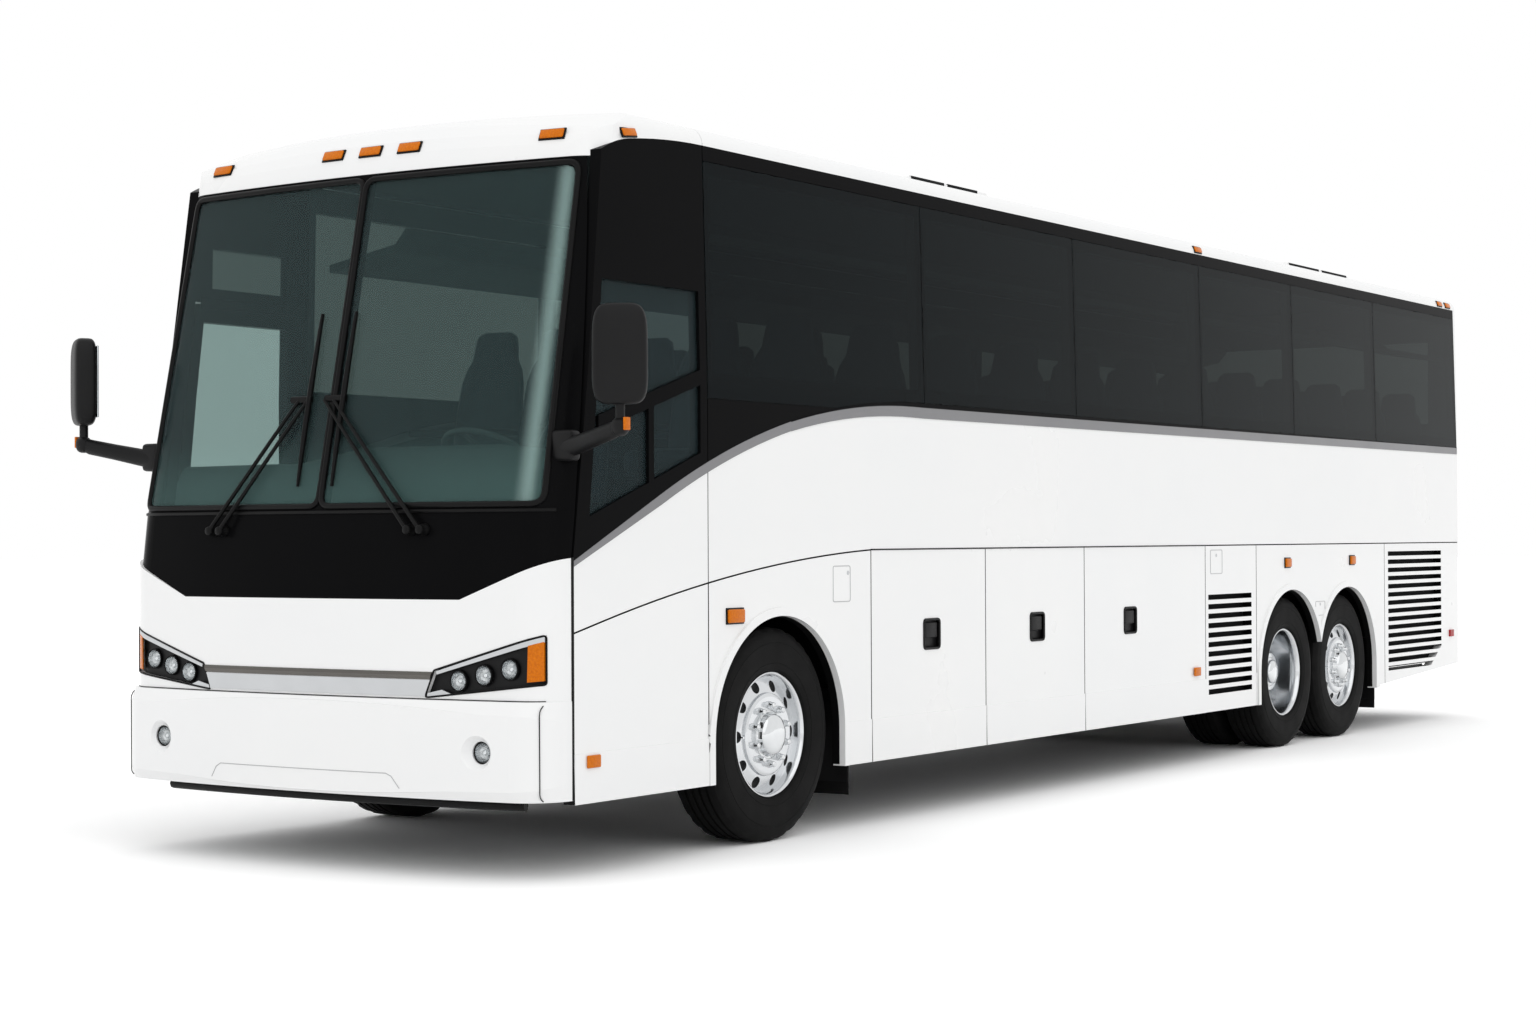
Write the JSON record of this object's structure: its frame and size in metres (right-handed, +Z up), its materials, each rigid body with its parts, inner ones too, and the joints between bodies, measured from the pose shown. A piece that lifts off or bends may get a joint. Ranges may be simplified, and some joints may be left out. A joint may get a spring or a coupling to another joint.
{
  "type": "three-axle touring coach",
  "caption": "Long-distance touring coach with hollow cabin, raked two-piece windscreen, dark side glazing, luggage bays with lifting doors, steered front wheels and twin drive wheels.",
  "frame": {"origin": "on the road under the middle of the coach's box", "axes": "+X forward, +Y to the coach's left, +Z up"},
  "size_m": [12.19, 3.533, 3.477],
  "materials": {
    "body_white": "gloss white coach paint",
    "body_black": "gloss black panel",
    "side_glass": "dark tinted safety glass",
    "screen_glass": "lightly tinted laminated glass",
    "trim_black": "satin black plastic and rubber trim",
    "tyre": "matt tyre rubber",
    "wheel_aluminium": "polished aluminium",
    "chrome": "bright metal",
    "lamp_clear": "clear lamp lens",
    "lamp_amber": "amber lens",
    "lamp_red": "red lens",
    "stripe_grey": "satin grey paint",
    "underbody": "black chassis paint",
    "axle_iron": "painted iron",
    "seat_fabric": "woven seat cloth",
    "floor_vinyl": "ribbed vinyl",
    "cabin_plastic": "grained cabin plastic"
  },
  "bodies": {
    "coach": {"floor": "floor_vinyl", "underbody": "underbody", "roof": "body_white", "front_cap": "body_white", "windscreen_glass": "screen_glass", "windscreen_frame": "body_black", "front_mask": "body_black", "front_panel": "body_white", "front_bumper": "body_white", "bright_bar": "chrome", "headlamp_housings": "trim_black", "lamp_lenses": "lamp_clear", "upper_walls": "body_black", "cab_walls": "body_black", "side_glass": "side_glass", "side_panels": "body_white", "stripes": "stripe_grey", "skirt_panels": "body_white", "rear_wall": "body_white", "rear_glass": "side_glass", "rear_bumper": "body_white", "tail_lamps": "lamp_red", "mirrors": "trim_black", "wipers": "trim_black", "roof_vents": "body_white", "marker_lamps": "lamp_amber", "mud_flaps": "trim_black", "front_axle": "axle_iron", "drive_axle": "axle_iron", "tag_axle": "axle_iron", "engine": "axle_iron", "seats": "seat_fabric", "dashboard": "cabin_plastic", "luggage_racks": "cabin_plastic"},
    "wheel_fl": {"tyre_fl": "tyre", "rim_fl": "wheel_aluminium"},
    "wheel_fr": {"tyre_fr": "tyre", "rim_fr": "wheel_aluminium"},
    "wheel_dl": {"tyre_dl": "tyre", "rim_dl": "wheel_aluminium"},
    "wheel_dr": {"tyre_dr": "tyre", "rim_dr": "wheel_aluminium"},
    "wheel_tl": {"tyre_tl": "tyre", "rim_tl": "wheel_aluminium"},
    "wheel_tr": {"tyre_tr": "tyre", "rim_tr": "wheel_aluminium"},
    "knuckle_left_body": {"knuckle_left": "axle_iron"},
    "knuckle_right_body": {"knuckle_right": "axle_iron"},
    "bay_door_l1": {"luggage_door_l1": "body_white"},
    "bay_door_l2": {"luggage_door_l2": "body_white"},
    "bay_door_l3": {"luggage_door_l3": "body_white"},
    "bay_door_r1": {"luggage_door_r1": "body_white"},
    "bay_door_r2": {"luggage_door_r2": "body_white"},
    "bay_door_r3": {"luggage_door_r3": "body_white"},
    "entrance": {"entrance_door": "body_black", "entrance_glass": "side_glass"},
    "engine_lid": {"engine_door": "body_white"},
    "steering": {"steering_wheel": "cabin_plastic"}
  },
  "joints": [
    {"name": "steer_left", "type": "hinge", "parent": "coach", "child": "knuckle_left_body", "pos_m": [4.14, 1.01, 0.522], "axis": [0, 0, 1], "range_deg": [-38, 38]},
    {"name": "steer_right", "type": "hinge", "parent": "coach", "child": "knuckle_right_body", "pos_m": [4.14, -1.01, 0.522], "axis": [0, 0, 1], "range_deg": [-38, 38]},
    {"name": "steering_turn", "type": "hinge", "parent": "coach", "child": "steering", "pos_m": [5.47, 0.58, 1.85], "axis": [-0.5299, 0, 0.848], "range_deg": [-684, 684]},
    {"name": "spin_fl", "type": "hinge", "parent": "knuckle_left_body", "child": "wheel_fl", "pos_m": [4.14, 1.11, 0.522], "axis": [0, 1, 0], "continuous": true},
    {"name": "spin_fr", "type": "hinge", "parent": "knuckle_right_body", "child": "wheel_fr", "pos_m": [4.14, -1.11, 0.522], "axis": [0, 1, 0], "continuous": true},
    {"name": "spin_dl", "type": "hinge", "parent": "coach", "child": "wheel_dl", "pos_m": [-2.44, 1.11, 0.522], "axis": [0, 1, 0], "continuous": true},
    {"name": "spin_dr", "type": "hinge", "parent": "coach", "child": "wheel_dr", "pos_m": [-2.44, -1.11, 0.522], "axis": [0, 1, 0], "continuous": true},
    {"name": "spin_tl", "type": "hinge", "parent": "coach", "child": "wheel_tl", "pos_m": [-3.53, 1.11, 0.522], "axis": [0, 1, 0], "continuous": true},
    {"name": "spin_tr", "type": "hinge", "parent": "coach", "child": "wheel_tr", "pos_m": [-3.53, -1.11, 0.522], "axis": [0, 1, 0], "continuous": true},
    {"name": "bay_l1_lift", "type": "hinge", "parent": "coach", "child": "bay_door_l1", "pos_m": [2.6665, 1.296, 1.416], "axis": [1, 0, 0], "range_deg": [0, 95]},
    {"name": "bay_l2_lift", "type": "hinge", "parent": "coach", "child": "bay_door_l2", "pos_m": [1.4345, 1.296, 1.416], "axis": [1, 0, 0], "range_deg": [0, 95]},
    {"name": "bay_l3_lift", "type": "hinge", "parent": "coach", "child": "bay_door_l3", "pos_m": [-0.0685, 1.296, 1.416], "axis": [1, 0, 0], "range_deg": [0, 95]},
    {"name": "bay_r1_lift", "type": "hinge", "parent": "coach", "child": "bay_door_r1", "pos_m": [2.6665, -1.296, 1.416], "axis": [-1, 0, 0], "range_deg": [0, 95]},
    {"name": "bay_r2_lift", "type": "hinge", "parent": "coach", "child": "bay_door_r2", "pos_m": [1.4345, -1.296, 1.416], "axis": [-1, 0, 0], "range_deg": [0, 95]},
    {"name": "bay_r3_lift", "type": "hinge", "parent": "coach", "child": "bay_door_r3", "pos_m": [-0.0685, -1.296, 1.416], "axis": [-1, 0, 0], "range_deg": [0, 95]},
    {"name": "entrance_swing", "type": "hinge", "parent": "coach", "child": "entrance", "pos_m": [5.709, -1.296, 1.4], "axis": [0, 0, 1], "range_deg": [0, 85]},
    {"name": "engine_lift", "type": "hinge", "parent": "coach", "child": "engine_lid", "pos_m": [-6.09, 0, 1.404], "axis": [0, 1, 0], "range_deg": [0, 80]}
  ],
  "couplings": [
    {"joint": "steer_right", "follows": "steer_left", "ratio": 1},
    {"joint": "steering_turn", "follows": "steer_left", "ratio": 18}
  ]
}
